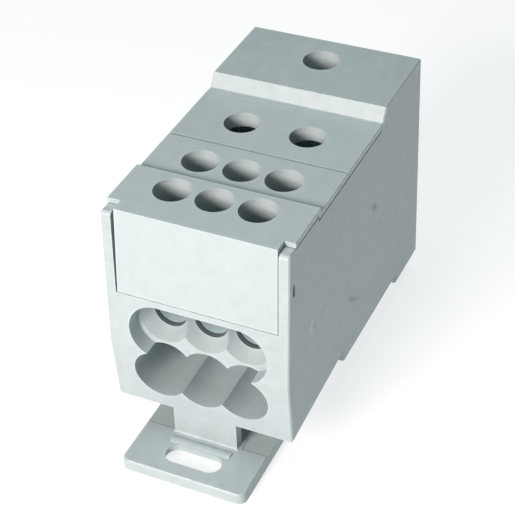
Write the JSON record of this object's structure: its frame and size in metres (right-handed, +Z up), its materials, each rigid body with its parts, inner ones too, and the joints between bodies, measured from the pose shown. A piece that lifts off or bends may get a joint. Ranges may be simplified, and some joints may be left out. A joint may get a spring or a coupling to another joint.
{
  "type": "power distribution block",
  "caption": "Single-pole power distribution block for a mounting rail, with a snap cover, screw access holes, round wire entries and a slotted spring foot.",
  "frame": {"origin": "on the ground plane under the spring foot, in the middle of the outline seen from above", "axes": "+X across the block, along the rail, to the right seen from the outgoing side; +Y from the outgoing wires towards the input wire; +Z up, away from the rail"},
  "size_m": [0.036, 0.078, 0.0537],
  "materials": {
    "moulded_housing": "fine moulded satin",
    "moulded_cover": "fine moulded satin",
    "tinned_brass": "dull tin plate",
    "zinc_steel": "bright zinc plate"
  },
  "bodies": {
    "housing": {"housing": "moulded_housing", "terminal_block": "tinned_brass"},
    "cover": {"snap_cover": "moulded_cover"},
    "upper_screw_left": {"upper_screw_left": "zinc_steel"},
    "upper_screw_centre": {"upper_screw_centre": "zinc_steel"},
    "upper_screw_right": {"upper_screw_right": "zinc_steel"},
    "lower_screw_left": {"lower_screw_left": "zinc_steel"},
    "lower_screw_centre": {"lower_screw_centre": "zinc_steel"},
    "lower_screw_right": {"lower_screw_right": "zinc_steel"},
    "medium_screw_left": {"medium_screw_left": "zinc_steel"},
    "medium_screw_right": {"medium_screw_right": "zinc_steel"},
    "input_screw": {"input_screw": "zinc_steel"}
  },
  "joints": [
    {"name": "cover_lift", "type": "slide", "parent": "housing", "child": "cover", "axis": [0, 0, 1], "range_m": [0, 0.02]},
    {"name": "upper_travel_left", "type": "slide", "parent": "housing", "child": "upper_screw_left", "axis": [0, 0, 1], "range_m": [0, 0.0045]},
    {"name": "upper_travel_centre", "type": "slide", "parent": "housing", "child": "upper_screw_centre", "axis": [0, 0, 1], "range_m": [0, 0.0045]},
    {"name": "upper_travel_right", "type": "slide", "parent": "housing", "child": "upper_screw_right", "axis": [0, 0, 1], "range_m": [0, 0.0045]},
    {"name": "lower_travel_left", "type": "slide", "parent": "housing", "child": "lower_screw_left", "axis": [0, 0, -1], "range_m": [0, 0.0055]},
    {"name": "lower_travel_centre", "type": "slide", "parent": "housing", "child": "lower_screw_centre", "axis": [0, 0, -1], "range_m": [0, 0.0055]},
    {"name": "lower_travel_right", "type": "slide", "parent": "housing", "child": "lower_screw_right", "axis": [0, 0, -1], "range_m": [0, 0.0055]},
    {"name": "medium_travel_left", "type": "slide", "parent": "housing", "child": "medium_screw_left", "axis": [0, 0, -1], "range_m": [0, 0.0065]},
    {"name": "medium_travel_right", "type": "slide", "parent": "housing", "child": "medium_screw_right", "axis": [0, 0, -1], "range_m": [0, 0.0065]},
    {"name": "input_travel", "type": "slide", "parent": "housing", "child": "input_screw", "axis": [0, 0, -1], "range_m": [0, 0.0098]}
  ]
}
